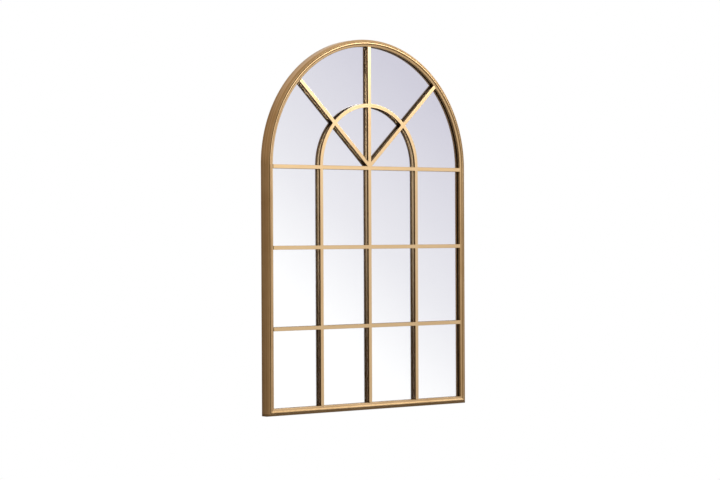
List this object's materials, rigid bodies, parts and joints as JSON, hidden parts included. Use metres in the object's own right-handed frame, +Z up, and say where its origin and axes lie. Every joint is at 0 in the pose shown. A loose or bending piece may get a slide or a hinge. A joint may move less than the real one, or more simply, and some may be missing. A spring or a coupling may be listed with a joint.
{
  "type": "arched window mirror",
  "caption": "Arched wall mirror shaped like a paned window: brushed gold metal frame with a fan of glazing bars over one sheet of mirror glass.",
  "frame": {"origin": "on the wall plane, midway between the two hanger rings and level with their hinge axis", "axes": "+X to the viewer's right, +Y back into the wall, +Z up along the mirror's height"},
  "size_m": [0.711, 0.035, 1.0399],
  "materials": {
    "frame_gold": "brushed antique gold lacquer over steel",
    "bar_gold": "brushed antique gold lacquer over steel",
    "glass": "clear polished float glass",
    "silver": "silvered, back painted",
    "board": "raw brown fibreboard",
    "zinc_steel": "zinc plated",
    "rubber": "matt black",
    "clear_pad": "translucent silicone"
  },
  "bodies": {
    "mirror": {"frame_arch": "frame_gold", "frame_stile_left": "frame_gold", "frame_stile_right": "frame_gold", "frame_rail": "frame_gold", "spring_bar": "bar_gold", "row_bar_upper": "bar_gold", "row_bar_lower": "bar_gold", "column_bar_left": "bar_gold", "column_bar_centre": "bar_gold", "column_bar_right": "bar_gold", "inner_arch_bar": "bar_gold", "crown_bar": "bar_gold", "spoke_left": "bar_gold", "spoke_right": "bar_gold", "bar_spacers": "clear_pad", "glass_gasket": "rubber", "mirror_glass": "glass", "silver_coat": "silver", "backing_board": "board", "retaining_tabs": "zinc_steel", "hanger_strap_left": "zinc_steel", "hanger_strap_right": "zinc_steel", "hanger_screws": "zinc_steel", "wall_pads": "rubber"},
    "ring_left": {"hanger_ring_left": "zinc_steel"},
    "ring_right": {"hanger_ring_right": "zinc_steel"}
  },
  "joints": [
    {"name": "ring_left_swing", "type": "hinge", "parent": "mirror", "child": "ring_left", "pos_m": [-0.22, -0.01098, 0], "axis": [1, 0, 0], "range_deg": [0, 180]},
    {"name": "ring_right_swing", "type": "hinge", "parent": "mirror", "child": "ring_right", "pos_m": [0.22, -0.01098, 0], "axis": [1, 0, 0], "range_deg": [0, 180]}
  ]
}
